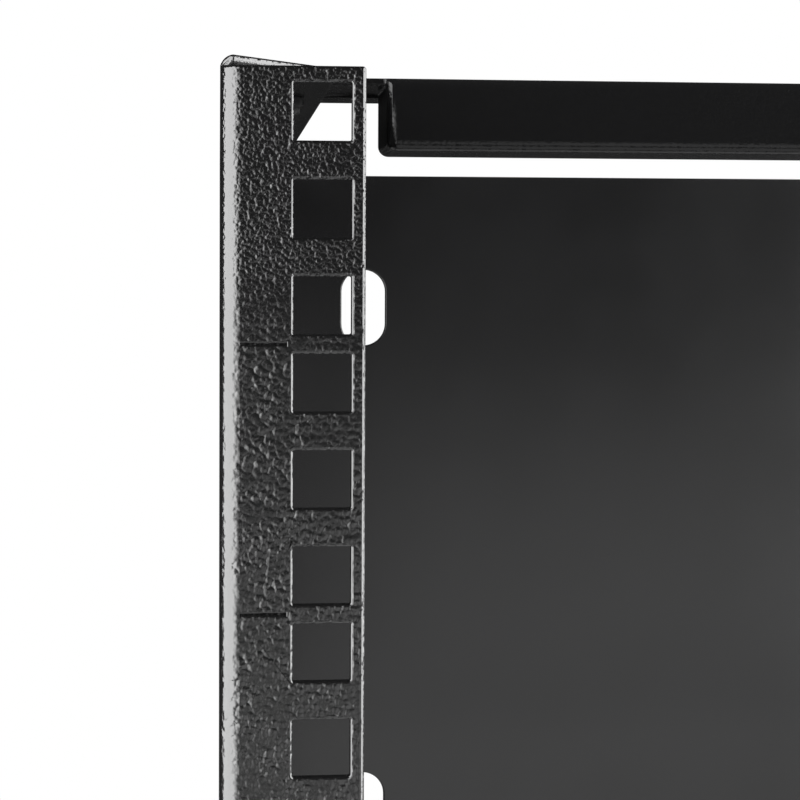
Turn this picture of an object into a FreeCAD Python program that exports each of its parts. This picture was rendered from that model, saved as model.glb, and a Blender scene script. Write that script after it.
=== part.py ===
import FreeCAD, Part
import math
import os

import Sketcher

# Wall-mount two-post rack: two bent side frames, a wall panel and two cross braces, all of sheet steel.
# Millimetres. The origin is the middle of the wall face, +Z is up and the front faces -Y.

# Driving dimensions, each one a cell of the sheet
DIMENSIONS = {
    # equipment grid of the two posts
    "rack_units": 6,
    "unit_pitch": 44.45,
    "hole_end": 6.35,
    "hole_step": 15.875,
    "hole_size": 9.5,
    "hole_corner": 0.3,
    "hole_span": 465.1,
    "hole_inset": 7.15,
    "end_margin": 1.1,
    # unit lines notched between the units
    "mark_start": 3.3,
    "mark_length": 7.7,
    "mark_width": 0.75,
    "mark_depth": 0.35,
    # bent sheet
    "sheet": 1.5,
    "bend_inside": 0.6,
    "post_bend_inside": 1.8,
    # side frames
    "rack_depth": 305.0,
    "post_face": 23.9,
    "flange": 20.8,
    "post_side": 58.0,
    "arm_height": 42.0,
    "rear_side": 42.0,
    "window_corner": 16.0,
    # wall panel
    "panel_sheet": 1.5,
    "panel_gap": 2.2,
    "panel_corner": 4.0,
    "slot_span": 400.0,
    "slot_rise": 174.0,
    "slot_width": 15.0,
    "slot_length": 26.0,
    # cross braces
    "brace_setback": 49.0,
    "brace_depth": 38.4,
    "brace_inset": 3.0,
    "lip_height": 14.1,
    "lip_inset": 32.2,
    "return_depth": 20.0,
    # screws between the pieces
    "screw_hole": 6.5,
    "screw_inset": 11.5,
    "brace_screw_pitch": 18.0,
    "panel_screw_pitch": 190.0,
}


class Size:
    """A length with its formula on the sheet and its present value."""

    def __init__(self, formula, value):
        self.formula = formula
        self.value = value

    @staticmethod
    def of(other):
        return other if isinstance(other, Size) else Size(str(other), float(other))

    def __add__(self, other):
        other = Size.of(other)
        return Size(f"({self.formula} + {other.formula})", self.value + other.value)

    def __sub__(self, other):
        other = Size.of(other)
        return Size(f"({self.formula} - {other.formula})", self.value - other.value)

    def __mul__(self, other):
        other = Size.of(other)
        return Size(f"({self.formula} * {other.formula})", self.value * other.value)

    def __truediv__(self, other):
        other = Size.of(other)
        return Size(f"({self.formula} / {other.formula})", self.value / other.value)

    def __neg__(self):
        return Size(f"(-1 * {self.formula})", -self.value)


document = FreeCAD.newDocument("two_post_rack")
sheet = document.addObject("Spreadsheet::Sheet", "dims")
for row, (alias, number) in enumerate(DIMENSIONS.items(), start=1):
    sheet.set(f"A{row}", alias)
    sheet.set(f"B{row}", str(number))
    sheet.setAlias(f"B{row}", alias)
document.recompute()


def size(alias):
    """The named cell of the sheet."""
    return Size(f"dims.{alias}", float(DIMENSIONS[alias]))


# Sizes and places worked out from the sheet
thick = size("sheet")
bend_in = size("bend_inside")
bend_out = bend_in + thick
post_bend_in = size("post_bend_inside")
post_bend_out = post_bend_in + thick
grid_height = size("rack_units") * size("unit_pitch")
face_top = grid_height / 2 + size("end_margin")
flange_top = face_top + bend_out
outer_x = -(size("hole_span") / 2 + size("post_face") - size("hole_inset"))
hole_x = -(size("hole_span") / 2)
front_y = -size("rack_depth")
rear_y = -size("panel_sheet")
screw_x = outer_x + size("screw_inset")
brace_y = front_y + size("brace_setback")
brace_middle_y = brace_y + (size("brace_depth") + bend_out) / 2
brace_top = flange_top + thick


# Sketches and features
def bind(feature, prop, length):
    """Ties a property to the sheet."""
    feature.setExpression(prop, length.formula)


def sketch_on(body, name, role, offset=None):
    """A sketch on one of the body's own origin planes, moved along the plane's normal."""
    sketch = body.newObject("Sketcher::SketchObject", name)
    plane = next(item for item in body.Origin.OriginFeatures if item.Role == role)
    sketch.AttachmentSupport = [(plane, "")]
    sketch.MapMode = "FlatFace"
    if offset is not None:
        bind(sketch, ".AttachmentOffset.Base.z", offset)
    return sketch


def fix_point(sketch, geometry, point, place):
    """Holds one point of a sketch at a place given in sheet sizes."""
    for kind, length in zip(("DistanceX", "DistanceY"), place):
        index = sketch.addConstraint(Sketcher.Constraint(kind, -1, 1, geometry, point, length.value))
        bind(sketch, f"Constraints[{index}]", length)


def arc_between(start, end, radius, turn):
    """The quarter arc from start to end, turning left for turn +1 and right for -1."""
    a = FreeCAD.Vector(start[0].value, start[1].value, 0)
    b = FreeCAD.Vector(end[0].value, end[1].value, 0)
    chord = b - a
    outward = FreeCAD.Vector(chord.y, -chord.x, 0).normalize() * turn
    bulge = radius.value * (1 - math.cos(math.pi / 4))
    return Part.Arc(a, (a + b) * 0.5 + outward * bulge, b)


def outline(sketch, corners, bends=None):
    """A closed outline through the corners; bends maps a side's number to its (radius, turn)."""
    bends = bends or {}
    first = sketch.GeometryCount
    count = len(corners)
    for side, start in enumerate(corners):
        end = corners[(side + 1) % count]
        if side in bends:
            sketch.addGeometry(arc_between(start, end, *bends[side]), False)
        else:
            a = FreeCAD.Vector(start[0].value, start[1].value, 0)
            b = FreeCAD.Vector(end[0].value, end[1].value, 0)
            sketch.addGeometry(Part.LineSegment(a, b), False)
    # a three-point arc runs anticlockwise, so one that turns right has its ends swapped
    starts = [2 if bends.get(side, (None, 1))[1] < 0 else 1 for side in range(count)]
    for side, corner in enumerate(corners):
        before = (side - 1) % count
        sketch.addConstraint(
            Sketcher.Constraint("Coincident", first + before, 3 - starts[before], first + side, starts[side])
        )
        fix_point(sketch, first + side, starts[side], corner)
    for side, (radius, _) in bends.items():
        index = sketch.addConstraint(Sketcher.Constraint("Radius", first + side, radius.value))
        bind(sketch, f"Constraints[{index}]", radius)


def rectangle(sketch, low, high, corner=None):
    """A rectangle from its low to its high corner, with rounded corners where a radius is given."""
    (x0, y0), (x1, y1) = low, high
    if corner is None:
        outline(sketch, [(x0, y0), (x1, y0), (x1, y1), (x0, y1)])
        return
    r = corner
    points = [(x0 + r, y0), (x1 - r, y0), (x1, y0 + r), (x1, y1 - r)]
    points += [(x1 - r, y1), (x0 + r, y1), (x0, y1 - r), (x0, y0 + r)]
    outline(sketch, points, {side: (r, 1) for side in (1, 3, 5, 7)})


def circle(sketch, centre, diameter):
    """A round hole."""
    middle = FreeCAD.Vector(centre[0].value, centre[1].value, 0)
    added = sketch.addGeometry(Part.Circle(middle, FreeCAD.Vector(0, 0, 1), diameter.value / 2), False)
    fix_point(sketch, added, 3, centre)
    index = sketch.addConstraint(Sketcher.Constraint("Diameter", added, diameter.value))
    bind(sketch, f"Constraints[{index}]", diameter)


def upright_slot(sketch, centre, width, length):
    """A slot with round ends, longer upwards than across."""
    x, z = centre
    radius = width / 2
    reach = length / 2 - radius
    up = FreeCAD.Vector(0, 0, 1)
    right = FreeCAD.Vector(radius.value, 0, 0)
    low = FreeCAD.Vector(x.value, (z - reach).value, 0)
    high = FreeCAD.Vector(x.value, (z + reach).value, 0)
    low_circle = Part.Circle(low, up, radius.value)
    high_circle = Part.Circle(high, up, radius.value)
    bottom = sketch.addGeometry(Part.ArcOfCircle(low_circle, math.pi, 2 * math.pi), False)
    right_side = sketch.addGeometry(Part.LineSegment(low + right, high + right), False)
    top = sketch.addGeometry(Part.ArcOfCircle(high_circle, 0, math.pi), False)
    left_side = sketch.addGeometry(Part.LineSegment(high - right, low - right), False)
    ring = [bottom, right_side, top, left_side]
    for side, following in zip(ring, ring[1:] + ring[:1]):
        sketch.addConstraint(Sketcher.Constraint("Tangent", side, 2, following, 1))
    fix_point(sketch, bottom, 3, (x, z - reach))
    fix_point(sketch, top, 3, (x, z + reach))
    index = sketch.addConstraint(Sketcher.Constraint("Radius", bottom, radius.value))
    bind(sketch, f"Constraints[{index}]", radius)


def pad(body, name, sketch, length, reverse=False, both_ways=False):
    """Adds material along the sketch's normal."""
    feature = body.newObject("PartDesign::Pad", name)
    feature.Profile = sketch
    feature.Midplane = both_ways
    feature.Reversed = reverse
    bind(feature, "Length", length)
    document.recompute()
    return feature


def pocket(body, name, sketch, length, reverse=False):
    """Removes material against the sketch's normal, or along it when reversed."""
    before = body.Shape.Volume
    feature = body.newObject("PartDesign::Pocket", name)
    feature.Profile = sketch
    feature.Reversed = reverse
    bind(feature, "Length", length)
    document.recompute()
    if body.Shape.Volume >= before:
        raise RuntimeError(f"{body.Label}: {name} cuts nothing")
    return feature


def pattern_up(body, name, feature, sketch, spacing, count):
    """Repeats a feature upwards at the unit pitch."""
    pattern = body.newObject("PartDesign::LinearPattern", name)
    pattern.Originals = [feature]
    pattern.Direction = (sketch, ["V_Axis"])
    bind(pattern, "Length", spacing * (count - 1))
    bind(pattern, "Occurrences", count)
    body.Tip = pattern
    document.recompute()
    return pattern


def mirror_down(body, name, features):
    """Repeats features of the top at the bottom."""
    mirrored = body.newObject("PartDesign::Mirrored", name)
    mirrored.Originals = features
    plane = next(item for item in body.Origin.OriginFeatures if item.Role == "XY_Plane")
    mirrored.MirrorPlane = (plane, [""])
    body.Tip = mirrored
    document.recompute()
    return mirrored


def new_body(label):
    """An empty sub-part with its own label."""
    body = document.addObject("PartDesign::Body", label)
    body.Label = label
    return body


def half_turn(body):
    """Turns a piece about the front-to-back axis, for the opposite side or the underside."""
    turn = FreeCAD.Rotation(FreeCAD.Vector(0, 1, 0), 180)
    body.Placement = FreeCAD.Placement(FreeCAD.Vector(0, 0, 0), turn)


# Side frame: post face, open side and wall flange bent from one sheet, with mitred flanges top and bottom
def side_frame(label):
    """One bent side frame; the same piece serves both sides."""
    body = new_body(label)
    inner_x = outer_x + thick
    face_x = outer_x + post_bend_out
    bend_x = outer_x + bend_out
    post_x = outer_x + size("post_face")
    flange_x = outer_x + size("flange")
    side_front = front_y + post_bend_out
    side_rear = rear_y - post_bend_out

    strip = sketch_on(body, "strip_section", "XY_Plane")
    corners = [
        (post_x, front_y),
        (face_x, front_y),
        (outer_x, side_front),
        (outer_x, side_rear),
        (face_x, rear_y),
        (flange_x, rear_y),
        (flange_x, rear_y - thick),
        (face_x, rear_y - thick),
        (inner_x, side_rear),
        (inner_x, side_front),
        (face_x, front_y + thick),
        (post_x, front_y + thick),
    ]
    outer_bend, inner_bend = (post_bend_out, -1), (post_bend_in, 1)
    outline(strip, corners, {1: outer_bend, 3: outer_bend, 7: inner_bend, 9: inner_bend})
    pad(body, "strip", strip, face_top * 2, both_ways=True)

    arm = sketch_on(body, "flange_section", "XZ_Plane", -side_front)
    corners = [
        (outer_x, face_top),
        (bend_x, flange_top),
        (flange_x, flange_top),
        (flange_x, flange_top - thick),
        (bend_x, flange_top - thick),
        (inner_x, face_top),
    ]
    outline(arm, corners, {0: (bend_out, -1), 4: (bend_in, 1)})
    top_flange = pad(body, "top_flange", arm, side_rear - side_front, reverse=True)

    # each end of the flange is cut back both ways from the bend, to a point
    mitre = size("flange") - bend_out + thick
    relief = bend_out + thick
    corner_cuts = sketch_on(body, "corner_cuts", "XY_Plane", face_top)
    for end_y, way, beyond_y in ((side_front, 1, front_y), (side_rear, -1, rear_y)):
        outline(corner_cuts, [
            (bend_x, end_y),
            (bend_x - relief, end_y + relief * way),
            (bend_x - relief, beyond_y),
            (bend_x + mitre, beyond_y),
            (bend_x + mitre, end_y + mitre * way),
        ])
    mitres = pocket(body, "mitres", corner_cuts, bend_out * 2, reverse=True)

    brace_holes = sketch_on(body, "brace_hole_places", "XY_Plane", face_top)
    for step in (-0.5, 0.5):
        circle(brace_holes, (screw_x, brace_middle_y + size("brace_screw_pitch") * step), size("screw_hole"))
    arm_holes = pocket(body, "brace_holes", brace_holes, bend_out * 2, reverse=True)
    mirror_down(body, "bottom_flange", [top_flange, mitres, arm_holes])

    window = sketch_on(body, "window_outline", "YZ_Plane", outer_x)
    window_top = flange_top - size("arm_height")
    low = (front_y + size("post_side"), -window_top)
    high = (rear_y - size("rear_side"), window_top)
    rectangle(window, low, high, size("window_corner"))
    pocket(body, "window", window, thick * 2, reverse=True)

    unit_base = -(grid_height / 2)
    half_hole = size("hole_size") / 2
    holes = sketch_on(body, "unit_holes", "XZ_Plane", -front_y)
    for step in range(3):
        z = unit_base + size("hole_end") + size("hole_step") * step
        low = (hole_x - half_hole, z - half_hole)
        high = (hole_x + half_hole, z + half_hole)
        rectangle(holes, low, high, size("hole_corner"))
    unit = pocket(body, "holes_of_one_unit", holes, thick * 2)
    pattern_up(body, "square_holes", unit, holes, size("unit_pitch"), size("rack_units"))

    line_z = unit_base + size("unit_pitch")
    half_line = size("mark_width") / 2
    lines = sketch_on(body, "unit_line", "YZ_Plane", outer_x + size("mark_start"))
    outline(lines, [
        (front_y, line_z + half_line),
        (front_y, line_z - half_line),
        (front_y + size("mark_depth"), line_z),
    ])
    mark = pocket(body, "one_unit_line", lines, size("mark_length"), reverse=True)
    pattern_up(body, "unit_lines", mark, lines, size("unit_pitch"), size("rack_units") - 1)

    wall_holes = sketch_on(body, "wall_flange_hole_places", "XZ_Plane", -rear_y)
    for step in (-0.5, 0.5):
        circle(wall_holes, (screw_x, size("panel_screw_pitch") * step), size("screw_hole"))
    pocket(body, "wall_flange_holes", wall_holes, thick * 2, reverse=True)
    return body


# Wall panel: flat plate behind the side frames' wall flanges, with four slots for the wall's screws
def wall_panel(label):
    """The plate that lies against the wall."""
    body = new_body(label)
    top = face_top - size("panel_gap")
    plate = sketch_on(body, "panel_outline", "XZ_Plane")
    rectangle(plate, (outer_x, -top), (-outer_x, top), size("panel_corner"))
    pad(body, "panel", plate, size("panel_sheet"))

    slots = sketch_on(body, "slot_outlines", "XZ_Plane")
    for x in (-(size("slot_span") / 2), size("slot_span") / 2):
        for z in (-(size("slot_rise") / 2), size("slot_rise") / 2):
            upright_slot(slots, (x, z), size("slot_width"), size("slot_length"))
    pocket(body, "wall_slots", slots, size("panel_sheet"), reverse=True)

    holes = sketch_on(body, "frame_hole_places", "XZ_Plane")
    for x in (screw_x, -screw_x):
        for step in (-0.5, 0.5):
            circle(holes, (x, size("panel_screw_pitch") * step), size("screw_hole"))
    pocket(body, "frame_holes", holes, size("panel_sheet"), reverse=True)
    return body


# Cross brace: a shallow box lip under a flat plate whose ends lie on the side frames' flanges
def edges_where(shape, test):
    """Names of the shape's edges whose box passes the test."""
    return [f"Edge{number}" for number, edge in enumerate(shape.Edges, start=1) if test(edge.BoundBox)]


def near(value, length):
    """Whether a measured value is at a place given in sheet sizes."""
    return abs(value - length.value) < 1e-6


def cross_brace(label):
    """One brace across the top flanges; turned over, it serves the bottom ones."""
    body = new_body(label)
    half_lip = -outer_x - size("lip_inset")
    half_plate = -outer_x - size("brace_inset")
    lip_bottom = brace_top - size("lip_height")

    front = sketch_on(body, "lip_outline", "XZ_Plane", -brace_y)
    rectangle(front, (-half_lip, lip_bottom), (half_lip, brace_top))
    box = pad(body, "lip_box", front, size("return_depth"), reverse=True)

    bends = body.newObject("PartDesign::Fillet", "lip_bends")
    front_edges = edges_where(box.Shape, lambda edge: near(edge.YMax, brace_y))
    lower_edges = edges_where(
        box.Shape, lambda edge: near(edge.ZMax, lip_bottom) and edge.XLength < edge.YLength
    )
    bends.Base = (box, front_edges + lower_edges)
    bind(bends, "Radius", bend_out)
    body.Tip = bends
    document.recompute()

    inside = sketch_on(body, "lip_inside", "XZ_Plane", -(brace_y + size("return_depth")))
    low = (thick - half_lip, lip_bottom + thick)
    high = (half_lip - thick, brace_top - thick)
    rectangle(inside, low, high, bend_in)
    pocket(body, "lip_hollow", inside, size("return_depth") - thick, reverse=True)

    plate = sketch_on(body, "plate_outline", "XY_Plane", flange_top)
    rectangle(plate, (-half_plate, brace_y + bend_out), (half_plate, brace_y + size("brace_depth")))
    pad(body, "plate", plate, thick)

    holes = sketch_on(body, "end_hole_places", "XY_Plane", flange_top)
    for x in (screw_x, -screw_x):
        for step in (-0.5, 0.5):
            circle(holes, (x, brace_middle_y + size("brace_screw_pitch") * step), size("screw_hole"))
    pocket(body, "end_holes", holes, thick, reverse=True)
    return body


pieces = [
    side_frame("left_side_frame"),
    side_frame("right_side_frame"),
    wall_panel("wall_panel"),
    cross_brace("top_brace"),
    cross_brace("bottom_brace"),
]
half_turn(pieces[1])
half_turn(pieces[4])
document.recompute()

for item in document.Objects:
    if "Invalid" in item.State or "Error" in item.State:
        raise RuntimeError(f"{item.Label} failed: {item.State}")
os.makedirs("parts", exist_ok=True)
for piece in pieces:
    if piece.Shape.isNull() or not piece.Shape.isValid():
        raise RuntimeError(f"{piece.Label} has no valid shape")
for piece in pieces:
    piece.Shape.exportStep(f"parts/{piece.Label}.step")
    print(f"{piece.Label}: {len(piece.Shape.Solids)} solid, {piece.Shape.Volume / 1000:.1f} cm3")
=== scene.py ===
"""Looks of an open wall rack of bent sheet steel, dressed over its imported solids."""

import logging
import math
from collections.abc import Iterator, Mapping, Sequence
from dataclasses import dataclass, field
from enum import Enum

import bmesh
import bpy
from mathutils import Euler, Matrix, Vector


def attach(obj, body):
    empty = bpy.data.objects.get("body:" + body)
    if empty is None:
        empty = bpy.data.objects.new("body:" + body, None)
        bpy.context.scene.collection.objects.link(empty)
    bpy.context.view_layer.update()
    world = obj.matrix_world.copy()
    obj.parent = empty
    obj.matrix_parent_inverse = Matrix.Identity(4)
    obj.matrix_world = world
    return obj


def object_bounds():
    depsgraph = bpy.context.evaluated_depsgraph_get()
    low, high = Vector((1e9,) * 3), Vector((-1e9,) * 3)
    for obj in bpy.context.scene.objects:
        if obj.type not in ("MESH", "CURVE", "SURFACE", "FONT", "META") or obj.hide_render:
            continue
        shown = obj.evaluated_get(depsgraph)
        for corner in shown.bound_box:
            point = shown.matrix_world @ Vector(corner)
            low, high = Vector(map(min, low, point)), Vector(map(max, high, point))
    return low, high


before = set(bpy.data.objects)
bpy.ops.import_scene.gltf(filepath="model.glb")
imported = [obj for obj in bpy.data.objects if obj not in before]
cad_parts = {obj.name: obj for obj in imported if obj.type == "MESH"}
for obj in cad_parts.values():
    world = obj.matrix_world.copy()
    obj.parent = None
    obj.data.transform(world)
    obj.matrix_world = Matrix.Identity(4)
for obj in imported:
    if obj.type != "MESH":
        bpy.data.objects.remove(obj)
CAD_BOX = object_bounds()

logging.basicConfig(level=logging.INFO, format="%(message)s")
log = logging.getLogger("rack")

Colour = tuple[float, float, float, float]
MM = 0.001
SCREW_INSET = 11.5 * MM
WHITE: Colour = (1.0, 1.0, 1.0, 1.0)


class Slot(Enum):
    """The record's material slot for screws, which the pieces made here don't take."""

    SCREW = "screw_steel"


class Facing(Enum):
    """The way a screw's head looks, as turns about X, Y and Z."""

    UP = (0.0, 0.0, 0.0)
    DOWN = (math.pi, 0.0, 0.0)
    FRONT = (math.pi / 2, 0.0, 0.0)


class Value:
    """A number that varies over a surface; its arithmetic adds Math nodes."""

    def __init__(self, graph: "Graph", socket: bpy.types.NodeSocket) -> None:
        """Keeps a value.

        Args:
            graph: The graph that it belongs to.
            socket: The output socket that carries it.
        """
        self.graph = graph
        self.socket = socket

    def math(self, operation: str, *operands: "Value | float") -> "Value":
        """Adds one Math node.

        Args:
            operation: Blender's name of the operation.
            operands: Its inputs in order.

        Returns:
            The result.
        """
        node = self.graph.node("ShaderNodeMath", {"operation": operation}, dict(enumerate(operands)))
        return Value(self.graph, node.outputs[0])

    def __add__(self, other: "Value | float") -> "Value":
        """Sum."""
        return self.math("ADD", self, other)

    def __radd__(self, other: float) -> "Value":
        """Sum with a number on the left."""
        return self.math("ADD", other, self)

    def __sub__(self, other: "Value | float") -> "Value":
        """Difference."""
        return self.math("SUBTRACT", self, other)

    def __rsub__(self, other: float) -> "Value":
        """Difference from a number on the left."""
        return self.math("SUBTRACT", other, self)

    def __mul__(self, other: "Value | float") -> "Value":
        """Product."""
        return self.math("MULTIPLY", self, other)

    def __rmul__(self, other: float) -> "Value":
        """Product with a number on the left."""
        return self.math("MULTIPLY", other, self)

    def __gt__(self, other: float) -> "Value":
        """1 where it is larger, else 0."""
        return self.math("GREATER_THAN", self, other)

    def __lt__(self, other: float) -> "Value":
        """1 where it is smaller, else 0."""
        return self.math("LESS_THAN", self, other)

    def maximum(self, other: "Value | float") -> "Value":
        """The larger of two values."""
        return self.math("MAXIMUM", self, other)

    def step(self, low: float, high: float) -> "Value":
        """A smooth step.

        Args:
            low: Where the result is still 0.
            high: Where the result reaches 1.

        Returns:
            The step, from 0 to 1.
        """
        settings = {"interpolation_type": "SMOOTHSTEP"}
        sockets = {"Value": self, "From Min": low, "From Max": high}
        return Value(self.graph, self.graph.node("ShaderNodeMapRange", settings, sockets).outputs["Result"])


class Graph:
    """The nodes of one material, of the world or of a geometry modifier."""

    def __init__(self, owner: bpy.types.Material | bpy.types.World | bpy.types.GeometryNodeTree) -> None:
        """Empties the owner's node tree.

        Args:
            owner: What the nodes belong to.
        """
        if isinstance(owner, bpy.types.GeometryNodeTree):
            self.tree = owner
        else:
            owner.use_nodes = True
            self.tree = owner.node_tree
        self.tree.nodes.clear()

    def node(
        self,
        kind: str,
        settings: Mapping[str, object] | None = None,
        sockets: Mapping[str | int, object] | None = None,
    ) -> bpy.types.Node:
        """Adds a node.

        Args:
            kind: Blender's type name of the node.
            settings: The node's properties, set first.
            sockets: Values or links of its inputs, by name or number.

        Returns:
            The node.
        """
        made = self.tree.nodes.new(kind)
        for key, value in (settings or {}).items():
            setattr(made, key, value)
        for key, value in (sockets or {}).items():
            source = value.socket if isinstance(value, Value) else value
            if isinstance(source, bpy.types.NodeSocket):
                self.tree.links.new(source, made.inputs[key])
            else:
                made.inputs[key].default_value = source
        return made

    def place(self, spacing: Sequence[float]) -> bpy.types.NodeSocket:
        """The point on the object, counted in steps of a spacing.

        Args:
            spacing: Metres of one step along X, Y and Z.

        Returns:
            A vector socket.
        """
        point = self.node("ShaderNodeTexCoord").outputs["Object"]
        steps = tuple(1.0 / length for length in spacing)
        return self.node("ShaderNodeVectorMath", {"operation": "MULTIPLY"}, {0: point, 1: steps}).outputs[0]

    def noise(self, place: bpy.types.NodeSocket, detail: float = 1.0, roughness: float = 0.5) -> Value:
        """Cloudy noise.

        Args:
            place: Where it is read, one step to a cloud.
            detail: Octaves over the first.
            roughness: Share of each further octave.

        Returns:
            The noise, mostly from 0.3 to 0.7.
        """
        sockets = {"Vector": place, "Scale": 1.0, "Detail": detail, "Roughness": roughness}
        return Value(self, self.node("ShaderNodeTexNoise", None, sockets).outputs["Fac"])

    def dimples(self, place: bpy.types.NodeSocket, softness: float) -> Value:
        """Rounded cells, highest along the seams between them.

        Args:
            place: Where they are read, one step to a cell.
            softness: How far neighbouring cells melt together.

        Returns:
            The distance from the nearest cell's middle.
        """
        sockets = {"Vector": place, "Scale": 1.0, "Smoothness": softness}
        node = self.node("ShaderNodeTexVoronoi", {"feature": "SMOOTH_F1"}, sockets)
        return Value(self, node.outputs["Distance"])

    def blend(self, share: Value, first: Colour, second: Colour) -> bpy.types.NodeSocket:
        """A colour between two.

        Args:
            share: 0 for the first colour, 1 for the second.
            first: One colour.
            second: The other colour.

        Returns:
            A colour socket.
        """
        node = self.node("ShaderNodeMix", {"data_type": "RGBA"}, {0: share, 6: first, 7: second})
        return node.outputs[2]

    def axes(self, vector: bpy.types.NodeSocket) -> tuple[Value, ...]:
        """Takes a vector apart.

        Args:
            vector: A vector socket.

        Returns:
            Its X, Y and Z.
        """
        parts = self.node("ShaderNodeSeparateXYZ", None, {0: vector})
        return tuple(Value(self, axis) for axis in parts.outputs)

    def bump(self, height: Value, distance: float) -> bpy.types.NodeSocket:
        """Tilts the surface by a height.

        Args:
            height: The height, in shares of the distance.
            distance: The relief, in metres.

        Returns:
            A normal socket.
        """
        sockets = {"Distance": distance, "Height": height}
        return self.node("ShaderNodeBump", None, sockets).outputs["Normal"]

    def ray(self, kind: str) -> Value:
        """Tells rays of one kind from the others.

        Args:
            kind: Blender's name of the kind, such as Camera or Glossy.

        Returns:
            1 for rays of the kind, else 0.
        """
        return Value(self, self.node("ShaderNodeLightPath").outputs[f"Is {kind} Ray"])

    def seen(self) -> Value:
        """Tells what the camera sees, also through something clear.

        Returns:
            1 for its rays, else 0.
        """
        return self.ray("Camera").maximum(self.ray("Transmission"))

    def mix(
        self, share: Value, first: bpy.types.NodeSocket, second: bpy.types.NodeSocket
    ) -> bpy.types.NodeSocket:
        """A shader between two.

        Args:
            share: 0 for the first shader, 1 for the second.
            first: One shader.
            second: The other shader.

        Returns:
            A shader socket.
        """
        return self.node("ShaderNodeMixShader", None, {0: share, 1: first, 2: second}).outputs[0]

    def surface(self, shader: bpy.types.NodeSocket, output: str = "ShaderNodeOutputMaterial") -> None:
        """Makes a shader the graph's result.

        Args:
            shader: A shader socket.
            output: Blender's type name of the output node.
        """
        self.node(output, None, {"Surface": shader})


@dataclass(frozen=True)
class Skin:
    """One size of pebbles in a hammered paint."""

    pebble: float
    lumps: float
    seams: float
    melt: float = 0.5
    octaves: float = 1.0
    octave_share: float = 0.4

    def height(self, graph: Graph) -> Value:
        """The height of the skin: clouds, with rounded pebbles between sunken seams.

        Args:
            graph: The paint's nodes.

        Returns:
            The height, in shares of the paint's relief.
        """
        place = graph.place((self.pebble,) * 3)
        cells = graph.dimples(place, self.melt)
        clouds = graph.noise(place, self.octaves, self.octave_share)
        return clouds * self.lumps - cells * cells * self.seams


@dataclass(frozen=True)
class HammeredPaint:
    """Black powder coat with a hammered skin.

    The skin is finer near the posts' tops, calmer lower down and on bends, and duller on flat sides.
    """

    name: str = "hammered_black_paint"
    dark: Colour = (0.0008, 0.0008, 0.0009, 1.0)
    light: Colour = (0.0020, 0.0020, 0.0021, 1.0)
    fine: Skin = Skin(0.62 * MM, lumps=0.9, seams=1.0)
    coarse: Skin = Skin(0.96 * MM, lumps=1.15, seams=1.25)
    patch: float = 3.6 * MM
    patch_span: tuple[float, float] = (0.35, 0.65)
    patch_relief: tuple[float, float] = (0.66, 1.20)
    coarse_below: tuple[float, float] = (0.086, 0.106)
    relief: float = 0.105 * MM
    grain: float = 0.22 * MM
    grain_share: float = 0.04
    colour_span: tuple[float, float] = (0.35, 0.65)
    gloss_span: tuple[float, float] = (0.3, 0.7)
    gloss: tuple[float, float] = (0.13, 0.18)
    coarse_gloss: float = 0.04
    ior: float = 1.8
    shine: float = 1.0
    bend_span: tuple[float, float] = (0.25, 0.65)
    bend_calm: float = 0.35
    low_calm: float = 0.34
    calm_below: tuple[float, float] = (-0.065, 0.055)
    dull_gloss: float = 0.28
    dull_shine: float = 0.2
    side_span: tuple[float, float] = (0.88, 0.97)
    side_from: tuple[float, float] = (-0.3025, -0.2990)

    def height(self, graph: Graph, coarse: Value) -> Value:
        """The skin's height, from fine pebbles to coarse ones with calmer patches.

        Args:
            graph: The paint's nodes.
            coarse: 0 where the pebbles are fine, 1 where they are coarse.

        Returns:
            The height, in shares of the relief.
        """
        calm, strong = self.patch_relief
        patches = graph.noise(graph.place((self.patch,) * 3)).step(*self.patch_span)
        fine_skin = self.fine.height(graph)
        coarse_skin = self.coarse.height(graph) * (calm + patches * (strong - calm))
        return fine_skin + coarse * (coarse_skin - fine_skin)

    def material(self) -> bpy.types.Material:
        """Builds the paint.

        Returns:
            The material.
        """
        made = bpy.data.materials.new(self.name)
        graph = Graph(made)
        _, depth, up = graph.axes(graph.node("ShaderNodeTexCoord").outputs["Object"])
        across, _, _ = graph.axes(graph.node("ShaderNodeNewGeometry").outputs["Normal"])
        aside = across.math("ABSOLUTE", across)
        coarse = 1.0 - up.step(*self.coarse_below)
        grain = graph.noise(graph.place((self.grain,) * 3))
        height = self.height(graph, coarse) + grain * self.grain_share
        height = height * (1.0 - aside.step(*self.bend_span) * self.bend_calm)
        height = height * (1.0 - self.low_calm + up.step(*self.calm_below) * self.low_calm)
        smooth, rough = self.gloss
        gloss = smooth + grain.step(*self.gloss_span) * (rough - smooth) + coarse * self.coarse_gloss
        sockets = {
            "Base Color": graph.blend(grain.step(*self.colour_span), self.dark, self.light),
            "IOR": self.ior,
            "Normal": graph.bump(height, self.relief),
        }
        shiny = {**sockets, "Roughness": gloss, "Specular IOR Level": self.shine}
        dull = {**sockets, "Roughness": gloss + self.dull_gloss, "Specular IOR Level": self.dull_shine}
        flat_side = aside.step(*self.side_span) * depth.step(*self.side_from)
        first, second = (
            graph.node("ShaderNodeBsdfPrincipled", None, coating).outputs["BSDF"] for coating in (shiny, dull)
        )
        graph.surface(graph.mix(flat_side, first, second))
        return made


# The braces wear the same coat as the posts, but these base colours are several times lighter: painted light
# that makes the braces render lighter without brighter highlights. The lower relief and shine are the
# finish's own.
CALM_PAINT_WITH_PAINTED_LIGHT = HammeredPaint(
    "calm_hammered_paint_painted_light",
    dark=(0.0056, 0.0056, 0.0058, 1.0),
    light=(0.0070, 0.0070, 0.0073, 1.0),
    relief=0.035 * MM,
    shine=0.3,
)


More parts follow.
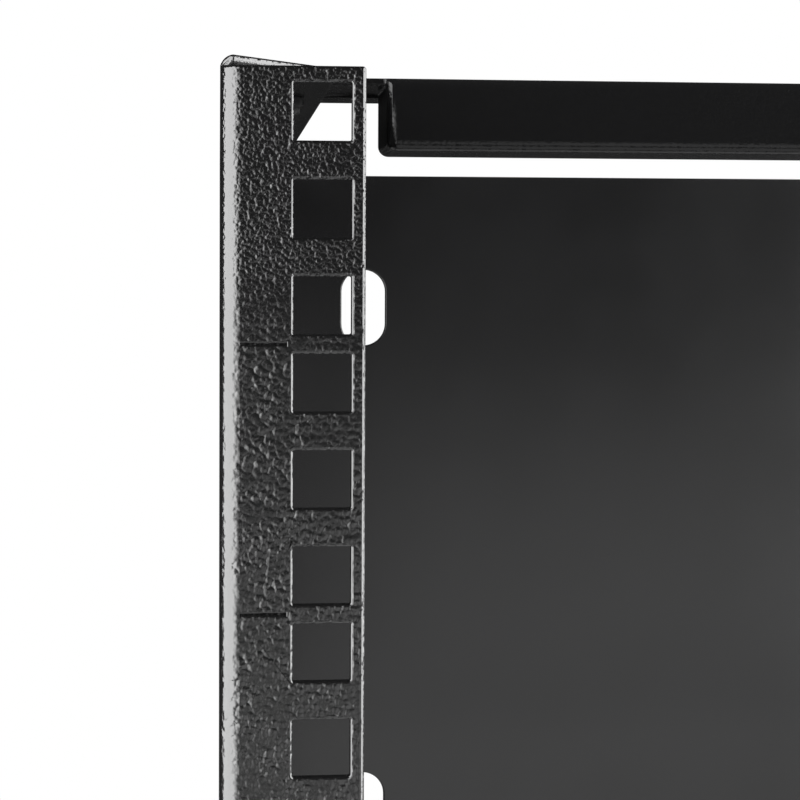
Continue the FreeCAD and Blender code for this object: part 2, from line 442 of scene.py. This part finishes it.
@dataclass(frozen=True)
class SatinPaint:
    """Black powder coat with a fine, even texture."""

    name: str = "satin_black_paint"
    dark: Colour = (0.0044, 0.0044, 0.0047, 1.0)
    light: Colour = (0.0056, 0.0056, 0.0060, 1.0)
    cloud: float = 45 * MM
    cloud_octaves: float = 2.0
    colour_span: tuple[float, float] = (0.35, 0.65)
    gloss_span: tuple[float, float] = (0.3, 0.7)
    grain: float = 0.42 * MM
    grain_octaves: float = 1.5
    relief: float = 0.008 * MM
    gloss: tuple[float, float] = (0.20, 0.22)
    ior: float = 1.95
    shine: float = 0.5

    def material(self) -> bpy.types.Material:
        """Builds the paint.

        Returns:
            The material.
        """
        made = bpy.data.materials.new(self.name)
        graph = Graph(made)
        grain = graph.noise(graph.place((self.grain,) * 3), self.grain_octaves)
        clouds = graph.noise(graph.place((self.cloud,) * 3), self.cloud_octaves)
        smooth, rough = self.gloss
        sockets = {
            "Base Color": graph.blend(clouds.step(*self.colour_span), self.dark, self.light),
            "Roughness": smooth + clouds.step(*self.gloss_span) * (rough - smooth),
            "IOR": self.ior,
            "Specular IOR Level": self.shine,
            "Normal": graph.bump(grain, self.relief),
        }
        graph.surface(graph.node("ShaderNodeBsdfPrincipled", None, sockets).outputs["BSDF"])
        return made


@dataclass(frozen=True)
class ScrewBlack:
    """Black oxide on steel screws, a little worn on the high spots."""

    name: str = "screw_black"
    dark: Colour = (0.016, 0.016, 0.017, 1.0)
    light: Colour = (0.045, 0.044, 0.043, 1.0)
    patch: float = 1.6 * MM
    patch_octaves: float = 3.0
    patch_share: float = 0.6
    worn_span: tuple[float, float] = (0.45, 0.75)
    bare_span: tuple[float, float] = (0.5, 0.8)
    gloss: tuple[float, float] = (0.34, 0.50)
    metal: tuple[float, float] = (0.4, 0.8)
    grain: float = 0.12 * MM
    relief: float = 0.006 * MM

    def material(self) -> bpy.types.Material:
        """Builds the finish.

        Returns:
            The material.
        """
        made = bpy.data.materials.new(self.name)
        graph = Graph(made)
        patches = graph.noise(graph.place((self.patch,) * 3), self.patch_octaves, self.patch_share)
        grain = graph.noise(graph.place((self.grain,) * 3))
        smooth, rough = self.gloss
        black, bare = self.metal
        sockets = {
            "Base Color": graph.blend(patches.step(*self.worn_span), self.dark, self.light),
            "Roughness": smooth + patches * (rough - smooth),
            "Metallic": black + patches.step(*self.bare_span) * (bare - black),
            "Normal": graph.bump(grain, self.relief),
        }
        graph.surface(graph.node("ShaderNodeBsdfPrincipled", None, sockets).outputs["BSDF"])
        return made


@dataclass(frozen=True)
class SheetEdges:
    """How paint rounds a sheet's cut edges."""

    radius: float = 0.55 * MM
    steps: int = 4
    join_within: float = 0.001 * MM
    flat_within: float = math.radians(0.5)
    sharper_than: float = math.radians(50)
    flat_under: float = math.radians(10)
    weight_name: str = "bevel_weight_edge"
    unit_pitch: float = 44.45 * MM
    line_half: float = 0.5 * MM
    line_depth: float = 0.4 * MM
    line_reach: tuple[float, float] = (238.2 * MM, 246.1 * MM)
    line_share: float = 0.25

    def chooser(self) -> bpy.types.GeometryNodeTree:
        """Marks every sharp edge, and the fine lines between the rack units with a smaller share.

        Returns:
            The node group of a geometry modifier, made once.
        """
        made = bpy.data.node_groups.get("painted_edges")
        if made:
            return made
        made = bpy.data.node_groups.new("painted_edges", "GeometryNodeTree")
        for way in ("INPUT", "OUTPUT"):
            made.interface.new_socket("Geometry", in_out=way, socket_type="NodeSocketGeometry")
        graph = Graph(made)
        angles = graph.node("GeometryNodeInputMeshEdgeAngle").outputs
        angle, signed = (Value(graph, angles[name]) for name in ("Unsigned Angle", "Signed Angle"))
        point = graph.node("GeometryNodeInputPosition").outputs["Position"]
        across, depth, up = graph.axes(point)
        aside = across.math("ABSOLUTE", across)
        near, far = self.line_reach
        line = up.math("PINGPONG", up, self.unit_pitch / 2) < self.line_half
        line = line * (depth < CAD_BOX[0][1] + self.line_depth) * (aside > near) * (aside < far)
        shape = graph.node("NodeGroupInput").outputs[0]
        valley = line * (signed < 0.0)
        shoulder = line * (signed > self.flat_under) * self.line_share
        weight = (angle > self.sharper_than) * (1.0 - line) + shoulder
        marks = (("FLOAT", self.weight_name, weight), ("BOOLEAN", "sharp_edge", valley))
        for kind, name, value in marks:
            sockets = {"Geometry": shape, "Name": name, "Value": value}
            settings = {"data_type": kind, "domain": "EDGE"}
            shape = graph.node("GeometryNodeStoreNamedAttribute", settings, sockets).outputs["Geometry"]
        graph.node("NodeGroupOutput", None, {0: shape})
        return made

    def round(self, piece: bpy.types.Object) -> None:
        """Rounds the edges by modifiers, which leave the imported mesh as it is.

        Args:
            piece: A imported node's object.
        """
        weld = piece.modifiers.new("join_faces", "WELD")
        weld.merge_threshold = self.join_within
        flat = piece.modifiers.new("clear_flats", "DECIMATE")
        flat.decimate_type = "DISSOLVE"
        flat.angle_limit = self.flat_within
        flat.delimit = set()
        piece.modifiers.new("choose_edges", "NODES").node_group = self.chooser()
        bevel = piece.modifiers.new("paint_edge", "BEVEL")
        bevel.width = self.radius
        bevel.segments = self.steps
        bevel.limit_method = "WEIGHT"
        bevel.edge_weight = self.weight_name
        bevel.use_clamp_overlap = False
        bevel.miter_outer = "MITER_ARC"
        shade = piece.modifiers.new("even_shading", "WEIGHTED_NORMAL")
        shade.keep_sharp = True


def coat(node: str, material: bpy.types.Material, edges: SheetEdges) -> None:
    """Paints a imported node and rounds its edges.

    Args:
        node: The node's name.
        material: Its paint.
        edges: How the paint rounds its edges.
    """
    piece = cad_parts[node]
    for slot in piece.material_slots:
        slot.material = material
    edges.round(piece)
    log.info("painted %s", node)


@dataclass
class SideFrames:
    """The two bent side frames with their posts."""

    nodes: tuple[str, str] = ("left_side_frame", "right_side_frame")
    edges: SheetEdges = field(default_factory=SheetEdges)

    def dress(self, paint: bpy.types.Material) -> None:
        """Coats both frames.

        Args:
            paint: Their paint.
        """
        for node in self.nodes:
            coat(node, paint, self.edges)


@dataclass
class WallPanel:
    """The plate at the wall and the screws that hold the frames to it."""

    node: str = "wall_panel"
    edges: SheetEdges = field(default_factory=SheetEdges)
    screw_z: float = 95.0 * MM
    flange_y: float = -3.0 * MM

    def dress(self, paint: bpy.types.Material) -> None:
        """Coats the plate.

        Args:
            paint: Its paint.
        """
        coat(self.node, paint, self.edges)

    def fasten(self, screw: "Screw", finish: bpy.types.Material) -> None:
        """Sets the screws on the side frames' wall flanges.

        Args:
            screw: The screw to repeat.
            finish: Its finish.
        """
        mesh = screw.mesh("wall_flange_screw", nut=False)
        screw_x = CAD_BOX[1][0] - SCREW_INSET
        for side, x in (("left", -screw_x), ("right", screw_x)):
            for level, z in (("lower", -self.screw_z), ("upper", self.screw_z)):
                place_screw(f"{side}_{level}_wall_screw", mesh, (x, self.flange_y, z), Facing.FRONT, finish)


@dataclass
class CrossBraces:
    """The braces across the top and bottom, screwed to the side frames' flanges."""

    top: str = "top_brace"
    bottom: str = "bottom_brace"
    edges: SheetEdges = field(default_factory=SheetEdges)
    screw_y: tuple[float, float] = (-244.75 * MM, -226.75 * MM)

    def dress(self, paint: bpy.types.Material) -> None:
        """Coats both braces.

        Args:
            paint: Their paint.
        """
        for node in (self.top, self.bottom):
            coat(node, paint, self.edges)

    def fasten(self, screw: "Screw", finish: bpy.types.Material) -> None:
        """Sets the screws through the braces' ends.

        Args:
            screw: The screw to repeat.
            finish: Its finish.
        """
        mesh = screw.mesh("brace_screw", nut=True)
        screw_x = CAD_BOX[1][0] - SCREW_INSET
        bottom_z, top_z = CAD_BOX[0][2], CAD_BOX[1][2]
        for level, z, facing in (("top", top_z, Facing.UP), ("bottom", bottom_z, Facing.DOWN)):
            for side, x in (("left", -screw_x), ("right", screw_x)):
                for row, y in zip(("front", "rear"), self.screw_y):
                    place_screw(f"{level}_{side}_{row}_screw", mesh, (x, y, z), facing, finish)


@dataclass
class Screw:
    """A button-head screw with a wide collar and a hexagon socket."""

    sides: int = 48
    collar_radius: float = 5.8 * MM
    collar_height: float = 0.9 * MM
    collar_round: float = 0.3 * MM
    seat_chamfer: float = 0.15 * MM
    head_radius: float = 4.9 * MM
    head_height: float = 3.0 * MM
    head_step: float = 0.05 * MM
    crown_steps: int = 8
    crown_wall: float = 0.12
    crown_land: float = 0.75 * MM
    socket_flats: float = 4.0 * MM
    socket_depth: float = 1.5 * MM
    socket_land: float = 0.5 * MM
    socket_lead: float = 0.2 * MM
    socket_rim: float = 0.05 * MM
    cone_radius: float = 0.8 * MM
    cone_depth: float = 0.3 * MM
    shank_radius: float = 3.0 * MM
    sheets: float = 3.0 * MM
    nut_flats: float = 9.0 * MM
    nut_height: float = 2.0 * MM
    nut_face_radius: float = 4.32 * MM
    nut_face_chamfer: float = 0.45 * MM
    nut_seat_radius: float = 4.41 * MM
    nut_seat_chamfer: float = 0.25 * MM
    nut_bore_radius: float = 3.54 * MM
    nut_bore_depth: float = 0.1 * MM
    thread_radius: float = 2.82 * MM
    tip: float = 0.5 * MM
    tip_radius: float = 2.16 * MM
    tip_chamfer: float = 0.15 * MM
    end_gap: float = 0.2 * MM
    end_dimple_radius: float = 0.75 * MM
    end_dimple_depth: float = 0.12 * MM
    end_face_radius: float = 2.4 * MM
    end_radius: float = 3.12 * MM
    end_chamfer: float = 0.25 * MM
    smooth_under: float = math.radians(32)

    def circle(self, radius: float, height: float) -> list[Vector]:
        """One round ring.

        Args:
            radius: The ring's radius.
            height: Its height over the seat.

        Returns:
            The ring's points.
        """
        turns = (2 * math.pi * step / self.sides for step in range(self.sides))
        return [Vector((radius * math.cos(turn), radius * math.sin(turn), height)) for turn in turns]

    def hexagon(self, flats: float, height: float) -> list[Vector]:
        """One six-sided ring.

        Args:
            flats: The width across its flats.
            height: Its height over the seat.

        Returns:
            The ring's points.
        """
        points = []
        for step in range(self.sides):
            turn = 2 * math.pi * step / self.sides
            off = (turn % (math.pi / 3)) - math.pi / 6
            reach = flats / 2 / math.cos(off)
            points.append(Vector((reach * math.cos(turn), reach * math.sin(turn), height)))
        return points

    def nut_rings(self) -> list[list[Vector]]:
        """The nut under the sheets.

        Returns:
            Its rings, from the screw's tip up.
        """
        top = -self.sheets
        low = top - self.nut_height
        return [
            self.circle(self.tip_radius, low - self.tip),
            self.circle(self.thread_radius, low - self.tip + self.tip_chamfer),
            self.circle(self.thread_radius, low + self.nut_bore_depth),
            self.circle(self.nut_bore_radius, low),
            self.circle(self.nut_face_radius, low),
            self.hexagon(self.nut_flats, low + self.nut_face_chamfer),
            self.hexagon(self.nut_flats, top - self.nut_seat_chamfer),
            self.circle(self.nut_seat_radius, top),
            self.circle(self.shank_radius, top),
        ]

    def plain_rings(self) -> list[list[Vector]]:
        """The flush end of a screw that stops inside the last sheet.

        Returns:
            Its rings, from the end up.
        """
        end = -self.sheets + self.end_gap
        return [
            self.circle(self.end_dimple_radius, end + self.end_dimple_depth),
            self.circle(self.end_face_radius, end),
            self.circle(self.end_radius, end + self.end_chamfer),
        ]

    def crown_rings(self) -> Iterator[list[Vector]]:
        """The dome of the head.

        Yields:
            Its rings, from its wall to the land around the socket.
        """
        crown = self.head_height - self.collar_height
        land = self.socket_flats / 2 + self.crown_land
        for step in range(1, self.crown_steps + 1):
            turn = math.pi / 2 * step / self.crown_steps
            radius = land + (self.head_radius - land) * math.cos(turn)
            share = self.crown_wall + (1.0 - self.crown_wall) * math.sin(turn)
            yield self.circle(radius, self.collar_height + crown * share)

    def head_rings(self) -> list[list[Vector]]:
        """The collar, the domed head and its socket.

        Returns:
            Their rings, from the seat up and down into the socket.
        """
        collar, rise, top = self.collar_radius, self.collar_height, self.head_height
        floor = top - self.socket_depth
        return [
            self.circle(self.shank_radius, 0.0),
            self.circle(collar - self.seat_chamfer, 0.0),
            self.circle(collar, self.seat_chamfer),
            self.circle(collar, rise - self.collar_round),
            self.circle(collar - self.collar_round, rise),
            self.circle(self.head_radius, rise + self.head_step),
            *self.crown_rings(),
            self.circle(self.socket_flats / 2 + self.socket_land, top),
            self.hexagon(self.socket_flats + self.socket_lead, top - self.socket_rim),
            self.hexagon(self.socket_flats, top - self.socket_lead),
            self.hexagon(self.socket_flats, floor),
            self.circle(self.cone_radius, floor - self.cone_depth),
        ]

    def mesh(self, name: str, nut: bool) -> bpy.types.Mesh:
        """Builds the screw.

        Args:
            name: The mesh's name.
            nut: Whether a nut holds it below the sheets.

        Returns:
            A closed mesh whose seat is at height 0.
        """
        rings = (self.nut_rings() if nut else self.plain_rings()) + self.head_rings()
        built = bmesh.new()
        rows = [[built.verts.new(point) for point in ring] for ring in rings]
        for low, high in zip(rows, rows[1:]):
            for step in range(self.sides):
                after = (step + 1) % self.sides
                built.faces.new((low[step], low[after], high[after], high[step]))
        built.faces.new(reversed(rows[0]))
        built.faces.new(rows[-1])
        bmesh.ops.recalc_face_normals(built, faces=built.faces)
        for face in built.faces:
            face.smooth = True
        for edge in built.edges:
            edge.smooth = edge.calc_face_angle(0.0) < self.smooth_under
        mesh = bpy.data.meshes.new(name)
        built.to_mesh(mesh)
        built.free()
        return mesh


def place_screw(
    name: str, mesh: bpy.types.Mesh, place: Sequence[float], facing: Facing, finish: bpy.types.Material
) -> None:
    """Sets one screw on its seat.

    Args:
        name: The piece's name.
        mesh: The screw's mesh.
        place: Middle of its seat, in metres.
        facing: The way its head looks.
        finish: Its finish.
    """
    if not mesh.materials:
        mesh.materials.append(finish)
    piece = bpy.data.objects.new(name, mesh)
    piece.matrix_world = Matrix.Translation(place) @ Euler(facing.value).to_matrix().to_4x4()
    bpy.context.collection.objects.link(piece)
    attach(piece, "root")
    log.info("screw %s", name)


@dataclass
class Lamp:
    """One soft lamp."""

    name: str
    place: tuple[float, float, float]
    aim: tuple[float, float, float]
    size: tuple[float, float]
    radiance: float
    mirrored: bool = True

    def build(self) -> None:
        """Hangs the lamp, turned to its aim."""
        width, height = self.size
        light = bpy.data.lights.new(self.name, "AREA")
        light.shape = "RECTANGLE"
        light.size, light.size_y = width, height
        light.energy = self.radiance * math.pi * width * height
        lamp = bpy.data.objects.new(self.name, light)
        lamp.location = self.place
        lamp.rotation_euler = (Vector(self.aim) - Vector(self.place)).to_track_quat("-Z", "Y").to_euler()
        lamp.visible_camera = False
        lamp.visible_glossy = self.mirrored
        bpy.context.collection.objects.link(lamp)
        log.info("lamp %s", self.name)


@dataclass
class Studio:
    """A pale table top as the floor, white surroundings and soft lamps."""

    floor_half: tuple[float, float] = (0.42, 0.33)
    floor_middle_y: float = -0.13
    floor_corner: float = 0.12
    floor_corner_steps: int = 12
    floor_drop: float = 3.2 * MM
    floor_gloss: float = 0.7
    floor_colour: Colour = (0.80, 0.80, 0.80, 1.0)
    floor_mirrored: Colour = (0.45, 0.45, 0.45, 1.0)
    fade: tuple[float, float] = (0.02, 0.13)
    room: float = 0.04
    room_mirrored: float = 0.005
    post: tuple[float, float, float] = (-0.245, -0.305, 0.10)
    reach: float = 1.3
    lamp_height: float = 1.8
    spans: tuple[tuple[float, float, float], ...] = (
        (-105.0, -33.0, 3.3), (-33.0, -23.0, 2.25), (-23.0, -14.0, 1.15), (-14.0, -6.0, 0.40),
        (43.0, 80.0, 3.7), (80.0, 118.0, 3.7),
    )
    bounce_y: float = -1.6
    bounce_columns: tuple[tuple[float, float, float], ...] = ((-1.20, -0.08, 0.5), (-0.08, 1.20, 1.25))
    bounce_rows: tuple[tuple[float, float, float], ...] = (
        (-0.08, 0.02, 0.08), (-0.17, -0.08, 0.17), (-0.26, -0.17, 0.26), (-1.10, -0.26, 0.34),
    )
    ceiling: Lamp = field(default_factory=lambda: Lamp(
        "ceiling_bank", (0.0, -0.4, 1.8), (0.0, -0.4, 0.0), (1.8, 1.8), 2.8, mirrored=False,
    ))
    # fills in where the panel would mirror the lower brace, which the photographed one doesn't
    strip: Lamp = field(default_factory=lambda: Lamp(
        "lower_strip", (0.0, -0.216, -0.126), (0.0, 0.0, -0.126), (0.45, 0.024), 0.45,
    ))

    def softboxes(self) -> Iterator[Lamp]:
        """Soft boxes side by side around the post, dimmer towards the camera.

        Yields:
            The lamps, each for a span of degrees to the right of the way the post faces.
        """
        aim = Vector(self.post)
        for number, (start, end, radiance) in enumerate(self.spans, 1):
            turn, half = math.radians((start + end) / 2), math.radians((end - start) / 2)
            place = aim + self.reach * Vector((math.sin(turn), -math.cos(turn), 0.0))
            size = (2 * self.reach * math.tan(half), self.lamp_height)
            yield Lamp(f"softbox_{number}", tuple(place), self.post, size, radiance)

    def bounce(self) -> Iterator[Lamp]:
        """Weak lamps low in front, like light that comes back from a table, stronger further down.

        Yields:
            The lamps, in columns from the left and rows from above.
        """
        for column, (left, right, share) in enumerate(self.bounce_columns, 1):
            for row, (low, high, radiance) in enumerate(self.bounce_rows, 1):
                x, z = (left + right) / 2, (low + high) / 2
                place, aim = (x, self.bounce_y, z), (x, 0.0, z)
                size = (right - left, high - low)
                yield Lamp(f"bounce_{column}_{row}", place, aim, size, share * radiance)

    def floor_mesh(self) -> bpy.types.Mesh:
        """A flat plate with round corners, just under the lowest screw heads.

        Returns:
            The floor's mesh.
        """
        wide, deep = self.floor_half
        level = CAD_BOX[0][2] - self.floor_drop
        mesh = bpy.data.meshes.new("floor")
        built = bmesh.new()
        bmesh.ops.create_grid(built, x_segments=1, y_segments=1, size=1.0)
        bmesh.ops.scale(built, vec=(wide, deep, 1.0), verts=built.verts)
        bmesh.ops.bevel(
            built,
            geom=list(built.verts),
            offset=self.floor_corner,
            segments=self.floor_corner_steps,
            profile=0.5,
            affect="VERTICES",
        )
        bmesh.ops.translate(built, vec=(0.0, self.floor_middle_y, level), verts=built.verts)
        built.to_mesh(mesh)
        built.free()
        return mesh

    def floor_material(self) -> bpy.types.Material:
        """Pale near the rack, white to the camera further off, and dim in the paint's gloss.

        Returns:
            The floor's material.
        """
        made = bpy.data.materials.new("pale_floor")
        graph = Graph(made)
        low, high = (Vector(corner) for corner in CAD_BOX)
        point = graph.node("ShaderNodeTexCoord").outputs["Object"]
        outside = (
            ("SUBTRACT", (low + high) / 2),
            ("ABSOLUTE", Vector()),
            ("SUBTRACT", (high - low) / 2),
            ("MAXIMUM", Vector()),
            ("MULTIPLY", Vector((1.0, 1.0, 0.0))),
        )
        for operation, amount in outside:
            sockets = {0: point, 1: amount}
            point = graph.node("ShaderNodeVectorMath", {"operation": operation}, sockets).outputs[0]
        length = graph.node("ShaderNodeVectorMath", {"operation": "LENGTH"}, {0: point})
        off = Value(graph, length.outputs["Value"])
        sockets = {"Base Color": self.floor_colour, "Roughness": self.floor_gloss}
        pale = graph.node("ShaderNodeBsdfPrincipled", None, sockets).outputs["BSDF"]
        white, dim = (
            graph.node("ShaderNodeEmission", None, {"Color": colour, "Strength": 1.0}).outputs[0]
            for colour in (WHITE, self.floor_mirrored)
        )
        far = graph.mix(graph.seen() * off.step(*self.fade), pale, white)
        graph.surface(graph.mix(graph.ray("Glossy"), far, dim))
        return made

    def floor(self) -> None:
        """Lays the floor under the rack; a hand's width off it melts into the white surroundings."""
        mesh = self.floor_mesh()
        mesh.materials.append(self.floor_material())
        piece = bpy.data.objects.new("floor", mesh)
        bpy.context.collection.objects.link(piece)

    def surroundings(self) -> None:
        """Makes the world white to the camera, dim as a light and dimmer still in the paint's gloss."""
        world = bpy.data.worlds.new("studio")
        bpy.context.scene.world = world
        graph = Graph(world)
        seen = graph.seen().maximum(graph.ray("Glossy") * self.room_mirrored)
        room, white = (
            graph.node("ShaderNodeBackground", None, {"Color": WHITE, "Strength": strength}).outputs[0]
            for strength in (self.room, 1.0)
        )
        graph.surface(graph.mix(seen, room, white), "ShaderNodeOutputWorld")

    def build(self) -> None:
        """Sets up the studio."""
        self.floor()
        self.surroundings()
        for lamp in (*self.softboxes(), *self.bounce(), self.ceiling, self.strip):
            lamp.build()
        bpy.context.scene.view_settings.view_transform = "Standard"


@dataclass
class PhotoCamera:
    """The camera where the photograph was taken: close to the left post, near its top."""

    place: tuple[float, float, float] = (-0.2494, -0.5822, 0.1021)
    right: float = math.radians(4.75)
    down: float = math.radians(1.36)
    roll: float = math.radians(0.196)
    frame_pixels: float = 800.0
    focal_pixels: float = 1695.0
    sensor: float = 36.0
    shift: tuple[float, float] = (0.05, -0.12)
    clip: tuple[float, float] = (0.01, 50.0)

    def build(self) -> None:
        """Adds the camera and makes it the scene's own."""
        data = bpy.data.cameras.new("photo_camera")
        data.sensor_width = self.sensor
        data.lens = self.focal_pixels / self.frame_pixels * self.sensor
        data.shift_x, data.shift_y = self.shift
        data.clip_start, data.clip_end = self.clip
        camera = bpy.data.objects.new("photo_camera", data)
        camera.location = self.place
        aim = Euler((math.pi / 2 - self.down, 0.0, -self.right)).to_matrix()
        camera.rotation_euler = (aim @ Matrix.Rotation(self.roll, 3, "Z")).to_euler()
        bpy.context.collection.objects.link(camera)
        bpy.context.scene.camera = camera


def main() -> None:
    """Dresses the rack and sets up the studio and the camera."""
    hammered = HammeredPaint().material()
    satin = SatinPaint().material()
    black = ScrewBlack().material()
    screw = Screw()
    SideFrames().dress(hammered)
    panel = WallPanel()
    panel.dress(satin)
    panel.fasten(screw, black)
    braces = CrossBraces()
    braces.dress(CALM_PAINT_WITH_PAINTED_LIGHT.material())
    braces.fasten(screw, black)
    Studio().build()
    PhotoCamera().build()


if __name__ == "__main__":
    main()
